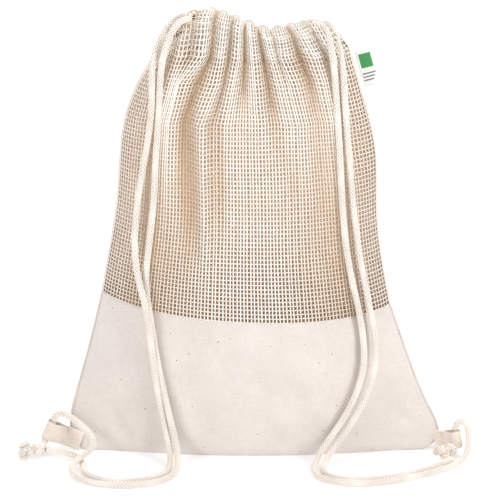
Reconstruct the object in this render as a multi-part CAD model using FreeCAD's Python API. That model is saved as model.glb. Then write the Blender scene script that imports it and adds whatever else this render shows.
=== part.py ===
import FreeCAD, Part

import math
import os

# Drawstring sack with a net front, standing on its base. Millimetres, +Z up, front towards -Y.
# The origin is the middle of the base, on the surface that the sack stands on.

Vec = FreeCAD.Vector

# ---- Driving dimensions -------------------------------------------------------------------------
CLOTH = 1.6            # a panel's thickness, canvas or net
EDGE_GAP = 0.15        # from a panel's edge to the middle of the side seam
SEAM_PROUD = 0.8       # how far the folded canvas band that holds the net stands out
SIDE_SEAM = 2.8        # width of the side seam allowance
SIDE_SEAM_HALF = 1.2   # half its thickness
BASE_SEAM_HALF = 0.6   # half the thickness of the seam allowance inside the base
BASE_SEAM_HEIGHT = 7.0
BASE_SEAM_CUT = 0.09   # share of the base's width that it stays away from each corner
CHANNEL_FOOT = 416.0   # height where the drawcord channel starts
CHANNEL_OUT = 24.0     # the channel's outer face, from the middle plane
CHANNEL_IN = 5.5       # its inner face, so the mouth is twice this wide
CHANNEL_WALL = 1.2
BORE_TOP = 4.4         # the cords' passage, measured down from the top edge
BORE_FOOT = 19.0
CORD = 7.0             # braided drawcord's diameter
FLOOR_LINE = 3.6       # height of a cord's middle where it lies on the floor
GAP = 0.3              # clearance between pieces that move apart
TAB_THICK = 1.2
TAB_HOLE = 4.6         # radius of the loop that the cord goes through
LABEL_WIDTH = 14.4
LABEL_THICK = 0.6
SEAM_PLANE = 11.3      # the side seams' plane, behind the origin

# The sack's levels from the floor up: height at the left edge, height at the right edge, how far the
# middle hangs below them, left edge, right edge, depth to the front, depth to the back, and how far
# the side seam stands from the middle plane (the bottom corners are pulled forward).
CANVAS_LEVELS = [
    (0.0, 0.0, 0.0, -158.0, 152.0, 36.0, 28.0, -18.0),
    (13.0, 13.0, 2.0, -172.0, 168.0, 48.0, 34.0, -18.0),
    (34.0, 34.0, 2.0, -197.0, 193.0, 54.0, 38.0, -8.0),
    (95.0, 92.0, 2.0, -169.0, 165.0, 60.0, 40.0, 0.0),
    (160.0, 146.0, 4.0, -153.0, 142.5, 62.0, 40.0, 0.0),
]
NET_LEVELS = [
    (168.0, 154.0, 4.0, -151.0, 139.5, 62.0, 40.0, 0.0),
    (212.0, 205.0, 0.0, -143.0, 129.0, 62.0, 39.0, 0.0),
    (262.0, 258.0, 0.0, -132.5, 122.0, 58.0, 36.0, 0.0),
    (316.0, 316.0, 0.0, -131.0, 125.0, 51.0, 33.0, 0.0),
    (365.0, 365.0, 0.0, -123.0, 111.0, 40.0, 29.0, 0.0),
    (397.0, 397.0, 0.0, -107.0, 102.0, 29.0, 25.0, 0.0),
    (CHANNEL_FOOT, CHANNEL_FOOT, 0.0, -94.0, 96.0, CHANNEL_OUT, CHANNEL_OUT, 0.0),
]
ACROSS = [-1.0, -0.93, -0.8, -0.6, -0.32, 0.0, 0.32, 0.6, 0.8, 0.93, 1.0]

# Top edge of the gathered mouth in front, as (x, height). The back's is lower all along.
TOP_EDGE = [(-60.0, 460.0), (-52.0, 463.0), (-44.0, 465.0), (-26.0, 459.0), (-2.0, 450.0),
            (17.0, 443.0), (39.0, 447.0), (54.0, 452.0), (64.0, 452.0)]
BACK_DROP = 7.0

# Routes of the drawcords, y from the side seams' plane. Each bight lies in both channels.
LEFT_BIGHT = [
    (-58, -19, 451), (-49, -19, 452), (-40, -19, 451.5), (-22, -19, 447.5), (0, -19, 439.5),
    (17, -19, 434), (36, -19, 435.5), (54, -19, 438.5), (66, -18, 437), (75, -9, 434),
    (75.5, 6, 429), (67, 16.5, 429), (55, 19, 431), (36, 19, 429), (17, 19, 427.5),
    (0, 19, 432.5), (-22, 19, 440.5), (-40, 19, 444.5), (-49, 19, 444.5), (-58, 19, 443.5),
]
RIGHT_BIGHT = [
    (61, -10.5, 443.4), (52, -10.5, 441.5), (36, -10.5, 436), (17, -10.5, 434), (0, -10.5, 439.5),
    (-22, -10.5, 447.5), (-38, -10.5, 451), (-50, -10.5, 450.5), (-61, -10.5, 447),
    (-69.5, -7.5, 443.5), (-72, 2, 441), (-66, 9.5, 440), (-54, 10.5, 442), (-40, 10.5, 444.5),
    (-22, 10.5, 440.5), (0, 10.5, 432.5), (17, 10.5, 427.5), (36, 10.5, 429), (52, 10.5, 434.5),
    (61, 10.5, 436.4),
]
# Left strand from the back channel, round the end of the mouth, down the front to the knot.
LEFT_OUTER = [
    (-61.6, 19, 443.2), (-72, 18.5, 443.5), (-79, 12, 447), (-82, 1.5, 447.5), (-85.5, -9.5, 443),
    (-88.5, -19, 435), (-90.5, -27, 425.5), (-93, -29.5, 405), (-97.4, -30, 370),
    (-101, -31.5, 341), (-106, -33, 300), (-111, -35, 252), (-112, -39, 206), (-109.5, -46, 160),
    (-103.8, -51, 118), (-96.3, -53, 80), (-90, -53.5, 50), (-86, -53, 30), (-84, -54.5, 18),
    (-83, -60, 9.5), (-83, -69, 4.8), (-85.5, -81, FLOOR_LINE), (-92.5, -92, FLOOR_LINE),
    (-105, -100, FLOOR_LINE), (-124, -104.5, FLOOR_LINE), (-144, -103, FLOOR_LINE),
    (-159, -96, FLOOR_LINE), (-168.5, -84, FLOOR_LINE), (-170.5, -70, FLOOR_LINE),
    (-172.5, -57, FLOOR_LINE), (-180, -47, 5), (-193, -41.5, 7.4), (-209.2, -38.5, 8.8),
]
# Left strand from the front channel, down the front, round on the floor and up into the tab.
LEFT_INNER = [
    (-61.6, -19, 450.8), (-71, -19.5, 450.5), (-77.5, -23.5, 445.5), (-80.5, -29, 434.5),
    (-83.5, -29.5, 417), (-87, -29, 394), (-91, -30.5, 360), (-94.5, -35.5, 318),
    (-98.7, -39.5, 275), (-102.5, -42, 232), (-103, -46, 190), (-100, -51, 149),
    (-94.5, -53.5, 108), (-87.5, -55, 73), (-82, -55.5, 46), (-78, -55, 28), (-76, -57, 15),
    (-75, -64, 7), (-75.5, -74.5, FLOOR_LINE), (-79, -87.5, FLOOR_LINE),
    (-87.5, -100, FLOOR_LINE), (-103, -108.5, FLOOR_LINE), (-124, -112.5, FLOOR_LINE),
    (-148, -111, FLOOR_LINE), (-168, -102, FLOOR_LINE), (-180, -88, FLOOR_LINE),
    (-182.5, -75, 5.5), (-176, -64.5, 10.5), (-167, -56.5, 13.2), (-161, -49, 16.5),
    (-162.5, -42.5, 23.5), (-170.5, -36, 31), (-181.5, -30, 38), (-191.9, -26, 42.8),
    (-197.4, -23.8, 42.4), (-201.9, -22.9, 39.1),
]
# Right strand from the front channel, down the front, round on the floor and up into the tab.
RIGHT_INNER = [
    (64.6, -10.5, 443.8), (71, -12.3, 444.3), (77, -19, 445.5), (79, -27, 439.5),
    (79.2, -30.3, 428), (79.5, -29.5, 413), (81, -29, 390), (84, -31, 360), (86, -36, 325),
    (88, -40, 285), (91.5, -41, 240), (98, -42, 200), (106.5, -41, 165), (112.5, -42, 130),
    (113.5, -45.5, 104), (107, -50, 79), (96, -53.5, 55), (84.5, -54, 36), (75, -54.5, 22),
    (68, -58, 11.5), (63.5, -66.5, 5), (61.5, -78, FLOOR_LINE), (65, -90.5, FLOOR_LINE),
    (76, -101, FLOOR_LINE), (92, -107.5, FLOOR_LINE), (113, -108.5, FLOOR_LINE),
    (137, -103, FLOOR_LINE), (163, -93, FLOOR_LINE), (187, -79, FLOOR_LINE), (206.5, -66.5, 4),
    (217, -54, 7), (221, -44.5, 14), (221.6, -37.5, 24), (220.3, -34.5, 33), (216, -32.3, 37),
    (210.2, -31, 36.8), (206.2, -30.5, 32.8),
]
# Right strand from the back channel, round the end of the mouth, down the front to the knot.
RIGHT_OUTER = [
    (64.6, 10.5, 436.6), (72.5, 10.5, 437), (80.5, 6, 441.5), (84, -4, 444.5), (87, -13.5, 442),
    (88.5, -22, 435.5), (89.5, -29, 424.5), (89, -30, 405), (90, -29.5, 378), (92.5, -31, 350),
    (95.5, -35, 314), (99.5, -36.5, 272), (105, -37, 230), (112, -37.5, 190), (120, -37, 154),
    (124.5, -40, 125), (123.5, -45, 99), (116.5, -50, 75), (105.5, -53.5, 53), (94.5, -54, 35),
    (84.5, -54.5, 20.5), (77.5, -59, 10.5), (73, -67.5, 4.8), (71, -78.5, FLOOR_LINE),
    (75, -89, FLOOR_LINE), (85.5, -96.5, FLOOR_LINE), (101, -100.5, FLOOR_LINE),
    (121, -99, FLOOR_LINE), (144, -92, FLOOR_LINE), (167, -81.5, FLOOR_LINE), (186.5, -70, 4),
    (203, -57.5, 6.4),
]

# Corner tabs: a strip folded into a loop. root is the middle of the sewn edge, reach the strip's
# length, yaw and tilt its direction, width along the loop's hole, plain the flat part before the loop.
LEFT_TAB = {"root": Vec(-179.5, -21.5, 11.6), "yaw": 183.0, "tilt": 22.0, "reach": 36.0,
            "width": 21.0, "plain": 18.0}
RIGHT_TAB = {"root": Vec(191.5, -21.0, 13.0), "yaw": -33.0, "tilt": 12.0, "reach": 27.0,
             "width": 18.0, "plain": 10.0}
LEFT_KNOT = Vec(-218.2, -38.5, 8.8)
RIGHT_KNOT = Vec(197.5, -45.5, 8.8)

# Label: its free edge turns about this line beside the right side seam.
LABEL_TOP = Vec(99.8, 0.0, 417.5)
LABEL_FOOT = Vec(110.0, 0.0, 381.5)

# ---- Faces and solids from grids of control points ------------------------------------------------


def knots(count, degree):
    """Knots and multiplicities of a clamped even spline."""
    inner = count - degree - 1
    values = [float(k) for k in range(inner + 2)]
    return values, [degree + 1] + [1] * inner + [degree + 1]


def grid_face(grid):
    """A spline face whose control points are the grid's."""
    rows = len(grid)
    columns = len(grid[0])
    degree_u = min(3, rows - 1)
    degree_v = min(3, columns - 1)
    knots_u, mults_u = knots(rows, degree_u)
    knots_v, mults_v = knots(columns, degree_v)
    surface = Part.BSplineSurface()
    surface.buildFromPolesMultsKnots(grid, mults_u, mults_v, knots_u, knots_v, False, False,
                                     degree_u, degree_v)
    return surface.toShape()


def spline(points):
    """A spline curve whose control points are the given ones, like a grid face's edge."""
    degree = min(3, len(points) - 1)
    values, mults = knots(len(points), degree)
    curve = Part.BSplineCurve()
    curve.buildFromPolesMultsKnots(points, mults, values, False, degree)
    return curve


def flat_face(near, far):
    """A flat face between two curves; their ends are joined where they lie apart."""
    edges = [near.toShape(), far.toShape()]
    for a, b in ((near.StartPoint, far.StartPoint), (near.EndPoint, far.EndPoint)):
        if (a - b).Length > 0.001:
            edges.append(Part.makeLine(a, b))
    return Part.Face(Part.Wire(Part.sortEdges(edges)[0]))


def column(grid, k):
    """One column of a grid."""
    return [line[k] for line in grid]


def closed_solid(faces):
    """The solid that the faces close."""
    shell = Part.makeShell(faces)
    shell.sewShape()
    solid = Part.makeSolid(shell)
    if solid.Volume < 0:
        solid.reverse()
    return solid


def slab(outer, inner):
    """A closed solid between two grids of the same size."""
    faces = [grid_face(outer), grid_face(inner)]
    for k in (0, -1):
        faces.append(grid_face([outer[k], inner[k]]))
        faces.append(grid_face([column(outer, k), column(inner, k)]))
    return closed_solid(faces)


# ---- The sack ---------------------------------------------------------------------------------------


def row(level, side, inset, lift=0.0):
    """One level's control points. side is -1 for the front and 1 for the back; inset goes inwards."""
    z_left, z_right, hang, x_left, x_right, front, back, pull = level
    depth = front if side < 0 else back
    middle = (x_left + x_right) / 2
    half = (x_right - x_left) / 2
    points = []
    for u in ACROSS:
        z = z_left + (z_right - z_left) * (u + 1) / 2 - hang * (1 - u * u) + lift
        swell = (1 - abs(u) ** 2.4) ** 0.8
        rim = EDGE_GAP + CLOTH
        y = rim + (depth - rim) * swell - inset
        x = middle + half * u
        if abs(u) < 1:
            x -= math.copysign(inset * abs(u) ** 3, u)
        points.append(Vec(x, side * y + pull * abs(u) ** 6, z))
    return points


def panel(levels, side, proud=0.0):
    """A cloth panel of the sack, following the levels."""
    return slab([row(level, side, -proud) for level in levels],
                [row(level, side, CLOTH) for level in levels])


def base_line(offset, corner_offset, z):
    """Control points along the seam in the middle of the base, moved towards the back by an offset."""
    points = []
    for u, p in zip(ACROSS, row(CANVAS_LEVELS[0], -1, 0.0)):
        away = corner_offset if abs(u) == 1 else offset
        points.append(Vec(p.x, CANVAS_LEVELS[0][7] * abs(u) ** 6 + away, z))
    return points


def canvas_panel(side):
    """The lower panel: a wall, and a flat base from its foot to the seam under the sack."""
    outer = [row(level, side, 0.0) for level in CANVAS_LEVELS]
    inner = [row(level, side, CLOTH) for level in CANVAS_LEVELS]
    inner[0] = row(CANVAS_LEVELS[0], side, CLOTH, CLOTH)
    seam = [base_line(side * (BASE_SEAM_HALF + EDGE_GAP), side * EDGE_GAP, z) for z in (0.0, CLOTH)]
    faces = [grid_face(outer), grid_face(inner), grid_face(seam), grid_face([outer[-1], inner[-1]]),
             flat_face(spline(outer[0]), spline(seam[0])), flat_face(spline(inner[0]), spline(seam[1]))]
    for k in (0, -1):
        faces.append(grid_face([column(outer, k), column(inner, k)]))
        faces.append(Part.Face(Part.makePolygon([outer[0][k], seam[0][k], seam[1][k], outer[0][k]])))
    return closed_solid(faces)


def side_seam(which):
    """The seam allowance that stands out along one side edge. which is -1 for left, 1 for right."""
    parts = []
    for levels in (CANVAS_LEVELS, NET_LEVELS):
        front = []
        back = []
        for level in levels:
            z = level[0] if which < 0 else level[1]
            x = level[3] if which < 0 else level[4]
            near = x + which * EDGE_GAP
            far = near + which * SIDE_SEAM
            y_front = level[7] - SIDE_SEAM_HALF
            y_back = level[7] + SIDE_SEAM_HALF
            front.append([Vec(near, y_front, z), Vec(far, y_front, z)])
            back.append([Vec(near, y_back, z), Vec(far, y_back, z)])
        parts.append(slab(front, back))
    lower_top = CANVAS_LEVELS[-1]
    upper_foot = NET_LEVELS[0]
    k = 0 if which < 0 else 1
    x_a = lower_top[3 + k] + which * EDGE_GAP
    x_b = upper_foot[3 + k] + which * EDGE_GAP
    outline = [Vec(x_a, -SIDE_SEAM_HALF, lower_top[k]),
               Vec(x_a + which * SIDE_SEAM, -SIDE_SEAM_HALF, lower_top[k]),
               Vec(x_b + which * SIDE_SEAM, -SIDE_SEAM_HALF, upper_foot[k]),
               Vec(x_b, -SIDE_SEAM_HALF, upper_foot[k])]
    face = Part.Face(Part.makePolygon(outline + [outline[0]]))
    joint = face.extrude(Vec(0, 2 * SIDE_SEAM_HALF, 0))
    return parts[0].fuse([joint, parts[1]])


def top_height(x):
    """Height of the gathered top edge at x."""
    if x <= TOP_EDGE[0][0]:
        return TOP_EDGE[0][1]
    for (x_a, z_a), (x_b, z_b) in zip(TOP_EDGE, TOP_EDGE[1:]):
        if x <= x_b:
            return z_a + (z_b - z_a) * (x - x_a) / (x_b - x_a)
    return TOP_EDGE[-1][1]


def channel_grid(y_foot, y_top, foot, rise):
    """Control points of a channel face. foot and rise turn the top edge's height into row heights."""
    bottom_level = NET_LEVELS[-1]
    rows = []
    for share in (0.0, 0.5, 1.0):
        left = bottom_level[3] + (TOP_EDGE[0][0] - bottom_level[3]) * share
        right = bottom_level[4] + (TOP_EDGE[-1][0] - bottom_level[4]) * share
        points = []
        for u in ACROSS:
            x = (left + right) / 2 + (right - left) / 2 * u
            low = foot(x)
            high = rise(x)
            points.append(Vec(x, y_foot + (y_top - y_foot) * share, low + (high - low) * share))
        rows.append(points)
    return rows


def channel(side):
    """The drawcords' hem: a sleeve, open at both ends, with gaps where a bight crosses over."""
    def foot(x):
        return CHANNEL_FOOT

    def top(x):
        return top_height(x) - (BACK_DROP if side > 0 else 0.0)

    body = slab(channel_grid(side * CHANNEL_OUT, side * CHANNEL_OUT, foot, top),
                channel_grid(side * CHANNEL_IN, side * CHANNEL_IN, foot, top))
    faces = []
    steps = 8
    for y in (side * (CHANNEL_OUT - CHANNEL_WALL), side * (CHANNEL_IN + CHANNEL_WALL)):
        rows = []
        for drop in (BORE_FOOT, BORE_TOP):
            points = []
            for k in range(-steps, steps + 1):
                x = 2.0 + 112.0 * k / steps
                points.append(Vec(x, y, top(x) - drop))
            rows.append(points)
        faces.append(rows)
    gaps = [slab(faces[0], faces[1])]
    reach = CHANNEL_OUT - 2 * CHANNEL_WALL
    for x_start, z_start in ((-100.0, 434.0), (60.0, 425.0)):
        gaps.append(Part.makeBox(40.0, 2 * reach, 17.0, Vec(x_start, -reach, z_start)))
    return body.cut(gaps)


def channel_tack(which):
    """The bar tack that joins the front and back channels above one side seam."""
    width = 7.0
    height = 5.0
    inset = 3.0
    x = NET_LEVELS[-1][3] + inset if which < 0 else NET_LEVELS[-1][4] - inset - width
    depth = CHANNEL_IN - 0.1
    return Part.makeBox(width, 2 * depth, height, Vec(x, -depth, CHANNEL_FOOT + 1.0))


def channel_stitching(side):
    """The row of thread that closes the channel's hem."""
    thread = 0.6
    x_left = NET_LEVELS[-1][3] + 6.0
    x_right = NET_LEVELS[-1][4] - 6.0
    y = CHANNEL_OUT + 0.05 if side > 0 else -CHANNEL_OUT - 0.05 - thread
    return Part.makeBox(x_right - x_left, thread, thread, Vec(x_left, y, CHANNEL_FOOT + 3.0))


def bottom_seam():
    """The seam allowance inside the base, standing up between the front and the back panel."""
    curves = []
    for side in (-1, 1):
        curve = spline(base_line(side * BASE_SEAM_HALF, side * BASE_SEAM_HALF, 0.0))
        cut = BASE_SEAM_CUT * curve.LastParameter
        curve.segment(cut, curve.LastParameter - cut)
        curves.append(curve)
    return flat_face(*curves).extrude(Vec(0, 0, BASE_SEAM_HEIGHT))


def tab_frame(tab):
    """The tab's axes: along its reach, across its thickness (towards the front) and up its hole."""
    yaw = math.radians(tab["yaw"])
    tilt = math.radians(tab["tilt"])
    along = Vec(math.cos(yaw) * math.cos(tilt), math.sin(yaw) * math.cos(tilt), math.sin(tilt))
    up = (Vec(0, 0, 1) - along * along.z).normalize()
    front = along.cross(up)
    if front.y > 0:
        front = front * -1
    return along, front, up


def loop_centre(tab):
    """The middle of the loop's hole."""
    along = tab_frame(tab)[0]
    return tab["root"] + along * (tab["reach"] - TAB_HOLE - TAB_THICK)


def tab_loop(tab):
    """A strip folded into a loop: a flat double layer and the open loop at its end."""
    along, front, up = tab_frame(tab)
    foot = tab["root"] - up * (tab["width"] / 2)

    def at(r, n):
        return foot + along * r + front * n

    def outline(radius, neck, half):
        """A teardrop: two straight sides from the neck to a round end."""
        centre = tab["reach"] - TAB_HOLE - TAB_THICK
        return [Part.LineSegment(at(centre, radius), at(neck, half)).toShape(),
                Part.LineSegment(at(neck, half), at(neck, -half)).toShape(),
                Part.LineSegment(at(neck, -half), at(centre, -radius)).toShape(),
                Part.Arc(at(centre, -radius), at(centre + radius, 0), at(centre, radius)).toShape()]

    outer = Part.Face(Part.Wire(outline(TAB_HOLE + TAB_THICK, tab["plain"] - 2.5, TAB_THICK)))
    inner = Part.Face(Part.Wire(outline(TAB_HOLE, tab["plain"], 0.2)))
    flat_corners = [at(0, TAB_THICK), at(tab["plain"] - 2.5, TAB_THICK),
                    at(tab["plain"] - 2.5, -TAB_THICK), at(0, -TAB_THICK)]
    flat = Part.Face(Part.makePolygon(flat_corners + [flat_corners[0]]))
    rise = up * tab["width"]
    return outer.extrude(rise).cut(inner.extrude(rise)).fuse(flat.extrude(rise)).removeSplitter()


def tab_tack(tab):
    """The line of thread across the tab's front where the loop begins."""
    along, front, up = tab_frame(tab)
    thread = 0.5
    length = tab["width"] - 3.0
    corner = tab["root"] + along * (tab["plain"] - 6.0) + front * (TAB_THICK + 0.03) - up * (length / 2)
    corners = [corner, corner + along * 1.0, corner + along * 1.0 + front * thread, corner + front * thread]
    return Part.Face(Part.makePolygon(corners + [corners[0]])).extrude(up * length)


def label():
    """A small woven label that stands out from the right side seam."""
    down = (LABEL_FOOT - LABEL_TOP).normalize()
    out = Vec(-down.z, 0, down.x)
    start = LABEL_TOP + out * GAP - Vec(0, LABEL_THICK / 2, 0)
    length = (LABEL_FOOT - LABEL_TOP).Length
    corners = [start, start + out * LABEL_WIDTH, start + out * LABEL_WIDTH + down * length,
               start + down * length]
    return Part.Face(Part.makePolygon(corners + [corners[0]])).extrude(Vec(0, LABEL_THICK, 0))


# ---- Cords ------------------------------------------------------------------------------------------


def route_wire(points, name):
    """Straight runs joined by tangent arcs, each as large as its two runs allow."""
    points = [Vec(*p) for p in points]
    edges = []
    start = points[0]
    radii = []
    for a, b, c in zip(points, points[1:], points[2:]):
        to_a = (a - b).normalize()
        to_c = (c - b).normalize()
        turn = math.pi - to_a.getAngle(to_c)
        cut = 0.45 * min((a - b).Length, (c - b).Length)
        radii.append(cut / math.tan(turn / 2))
        first = b + to_a * cut
        last = b + to_c * cut
        bisector = (to_a + to_c).normalize()
        sagitta = radii[-1] / math.cos(turn / 2) - radii[-1]
        middle = b + bisector * sagitta
        edges.append(Part.LineSegment(start, first).toShape())
        edges.append(Part.Arc(first, middle, last).toShape())
        start = last
    edges.append(Part.LineSegment(start, points[-1]).toShape())
    print(name, "length %.0f" % sum(e.Length for e in edges),
          "radii", " ".join("%.0f" % r for r in radii))
    return Part.Wire(edges)


def tube(points, name, diameter=CORD):
    """A plain round tube along the route."""
    wire = route_wire(points, name)
    first = wire.Edges[0]
    tangent = first.tangentAt(first.FirstParameter)
    ring = Part.Wire(Part.makeCircle(diameter / 2, Vec(*points[0]), tangent))
    solid = wire.makePipeShell([ring], True, False)
    wanted = math.pi * diameter ** 2 / 4 * wire.Length
    print("   volume / section x length = %.4f" % (solid.Volume / wanted))
    return solid


def entry(tab, clearance):
    """A point on the hole's axis, a clearance above the tab's upper edge."""
    return tuple(loop_centre(tab) + tab_frame(tab)[2] * (tab["width"] / 2 + clearance))


def tab_cord(tab, knot, turn, name):
    """The cord's stretch from the tab's upper opening through the loop and into the knot."""
    corner = loop_centre(tab) - tab_frame(tab)[2] * turn
    return tube([entry(tab, GAP), tuple(corner), tuple(knot)], name)


def knot(centre, long_way, half_length, half_width):
    """A stopper knot: a plump closed form."""
    ball = Part.makeSphere(1.0)
    matrix = FreeCAD.Matrix()
    matrix.scale(Vec(half_length, half_width, half_width))
    shape = ball.transformGeometry(matrix)
    shape.rotate(Vec(0, 0, 0), Vec(0, 0, 1), long_way)
    shape.translate(centre)
    return shape


def tuft(start, end, narrow, wide):
    """The frayed end of a cord: a flared plug."""
    way = Vec(*end) - Vec(*start)
    return Part.makeCone(narrow, wide, way.Length, Vec(*start), way)


# ---- The pieces ---------------------------------------------------------------------------------------

SEAM_LEVELS = [CANVAS_LEVELS[-1], NET_LEVELS[0]]
back_parts = [canvas_panel(1), panel(SEAM_LEVELS, 1), panel(NET_LEVELS, 1)]

pieces = {
    "front_canvas_panel": canvas_panel(-1),
    "panel_seam_band": panel(SEAM_LEVELS, -1, SEAM_PROUD),
    "front_net_panel": panel(NET_LEVELS, -1),
    "back_panel": back_parts[0].fuse(back_parts[1:]),
    "side_seam_left": side_seam(-1),
    "side_seam_right": side_seam(1),
    "bottom_seam": bottom_seam(),
    "front_channel": channel(-1),
    "back_channel": channel(1),
    "front_channel_stitching": channel_stitching(-1),
    "back_channel_stitching": channel_stitching(1),
    "channel_tack_left": channel_tack(-1),
    "channel_tack_right": channel_tack(1),
    "drawcord_left_bight": tube(LEFT_BIGHT, "left bight"),
    "drawcord_right_bight": tube(RIGHT_BIGHT, "right bight"),
    "cord_left_outer": tube(LEFT_OUTER, "left outer"),
    "cord_left_inner": tube(LEFT_INNER + [entry(LEFT_TAB, 3 * GAP)], "left inner"),
    "cord_left_tab_end": tab_cord(LEFT_TAB, LEFT_KNOT, 16.0, "left tab end"),
    "cord_right_inner": tube(RIGHT_INNER + [entry(RIGHT_TAB, 3 * GAP)], "right inner"),
    "cord_right_outer": tube(RIGHT_OUTER, "right outer"),
    "cord_right_tab_end": tab_cord(RIGHT_TAB, RIGHT_KNOT, 13.4, "right tab end"),
    "knot_left": knot(LEFT_KNOT, 20.0, 8.7, 8.4),
    "knot_right": knot(RIGHT_KNOT, 0.0, 11.5, 8.4),
    "tuft_left": tuft((-226.5, -41.5, 8.5), (-238.0, -45.5, 9.5), 4.0, 7.0),
    "cord_cut_end_right": tuft((191.0, -47.5, 10.0), (186.0, -53.0, 13.5), 3.5, 4.4),
    "tab_left": tab_loop(LEFT_TAB),
    "tab_right": tab_loop(RIGHT_TAB),
    "tab_tack_left": tab_tack(LEFT_TAB),
    "tab_tack_right": tab_tack(RIGHT_TAB),
    "label": label(),
}

os.makedirs("parts", exist_ok=True)
for node, shape in pieces.items():
    shape.translate(Vec(0, SEAM_PLANE, 0))
    box = shape.optimalBoundingBox()
    print("%-24s" % node, shape.isValid(), len(shape.Solids), "volume %.0f" % shape.Volume,
          "x %.1f..%.1f y %.1f..%.1f z %.1f..%.1f" % (box.XMin, box.XMax, box.YMin, box.YMax,
                                                       box.ZMin, box.ZMax))
    shape.exportStep("parts/%s.step" % node)
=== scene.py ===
import math

import bpy
import numpy as np
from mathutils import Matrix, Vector


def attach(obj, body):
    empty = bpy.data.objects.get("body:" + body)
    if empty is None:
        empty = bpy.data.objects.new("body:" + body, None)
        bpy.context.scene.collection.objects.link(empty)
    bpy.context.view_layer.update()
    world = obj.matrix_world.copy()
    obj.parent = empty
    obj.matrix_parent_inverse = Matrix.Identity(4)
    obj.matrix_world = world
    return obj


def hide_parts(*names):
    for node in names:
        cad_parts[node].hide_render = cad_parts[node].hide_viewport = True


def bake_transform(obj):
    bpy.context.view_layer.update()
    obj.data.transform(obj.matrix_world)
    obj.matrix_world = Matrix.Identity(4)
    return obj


# Looks of the drawstring sack: net front, canvas foot and back, braided cords. Metres, row frame.
# Routes and levels are given from the plane of the side seams, as the CAD source gives them.

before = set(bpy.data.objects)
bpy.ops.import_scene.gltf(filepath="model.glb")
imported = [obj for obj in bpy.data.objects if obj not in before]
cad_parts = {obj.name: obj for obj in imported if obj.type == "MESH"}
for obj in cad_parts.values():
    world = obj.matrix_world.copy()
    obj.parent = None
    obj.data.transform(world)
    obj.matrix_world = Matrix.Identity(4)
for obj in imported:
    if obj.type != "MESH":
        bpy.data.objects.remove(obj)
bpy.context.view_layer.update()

MM = 0.001
SEAM_PLANE = 11.3 * MM   # the side seams' plane, behind the origin
CORD = 7.0 * MM          # braided drawcord's diameter
CLOTH = 1.0 * MM         # canvas thickness
RIM = 1.75 * MM          # half the gap between front and back cloth at the side seam
WARPS = 86               # upright yarns of the net
MESH_HIGH = 4.4 * MM     # distance between the net's level yarns
YARN_WIDE = 1.3 * MM
YARN_THICK = 0.8 * MM
CHANNEL_FOOT = 416.0 * MM
BACK_DROP = 7.0 * MM     # how much lower the back's top edge is
PLEAT_DEPTH = 13.0 * MM  # of the gathered top, from ridge to valley
PLEAT_PROUD = 9.5 * MM   # how far ridges stand out of the channel's CAD face
PLEATS_FULL = 425 * MM   # height from which the pleats are at their full depth
DEPTH_COUNTS = (1, 0.6, 1)   # how much x, y and z count where points are spread along the cloth
WALL_COLUMNS = {-1: 181, 1: 301}   # points across a row of canvas, front and back
SEAM_COLUMNS = 1400      # points across a row that stitches follow
BASE_ROWS = 7            # from the seam under the sack to the foot of a wall
CANVAS_STEP = 3.0 * MM   # between rows of canvas
BACK_STEP = 2.6 * MM     # between rows of the back, from the net's foot up

# Levels from the floor up: height left and right, sag of the middle, left and right edge, depth to the
# front and to the back, and how far the side seam is pulled. Millimetres.
CANVAS_LEVELS = [
    (0, 0, 0, -174, 177, 36, 28, -18),
    (14, 14, 2, -188, 200, 48, 34, -18),
    (40, 40, 2, -188, 180, 54, 38, -8),
    (95, 92, 2, -168, 160, 60, 40, 0),
    (160, 146, 4, -153, 142.5, 62, 40, 0),
]
NET_LEVELS = [
    (168, 154, 4, -151, 139.5, 62, 40, 0),
    (212, 205, 0, -143, 129, 62, 39, 0),
    (262, 258, 0, -132.5, 122, 58, 36, 0),
    (316, 316, 0, -131, 125, 51, 33, 0),
    (365, 365, 0, -123, 111, 40, 29, 0),
    (397, 397, 0, -107, 102, 29, 25, 0),
    (416, 416, 0, -94, 96, 24, 24, 0),
]
TOP_EDGE = [(-60, 460), (-52, 463), (-44, 465), (-26, 459), (-2, 450), (17, 443), (39, 447), (54, 452),
            (64, 452)]

# Ridges of the pleats: their x at five heights. Valleys: how deep, and down to which height.
RIDGE_HEIGHTS = (215, 355, 395, 420, 455)
FRONT_RIDGES = [(-124, -108, -98, -88, -72), (-104, -90, -79, -71, -64), (-88, -80, -70, -50, -46),
                (-52, -50, -34, -30, -26), (-30, -28, -20, -15, -13), (8, 6, 3, 1, -2),
                (40, 36, 27, 20, 11), (56, 50, 40, 29, 25), (90, 78, 70, 62, 44), (112, 96, 87, 80, 61)]
FRONT_VALLEYS = [(0.4, 340), (0.6, 330), (0.5, 395), (1.0, 240), (0.8, 300), (1.0, 325), (1.0, 290),
                 (0.35, 360), (0.95, 320), (0.8, 330), (0.5, 340)]
BACK_RIDGES = [(-98, -80, -71, -66, -54), (-72, -58, -52, -49, -41), (-44, -38, -35, -33, -29),
               (-22, -18, -17, -17, -16), (2, 3, 0, -1, -3), (26, 22, 18, 15, 9), (50, 41, 35, 31, 21),
               (74, 60, 52, 48, 35), (98, 80, 71, 65, 49)]
BACK_VALLEYS = [(0.7, 320), (0.9, 270), (0.8, 330), (1.0, 290), (0.8, 340), (1.0, 260), (0.9, 330),
                (0.8, 300), (0.9, 330), (0.7, 320)]

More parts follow.
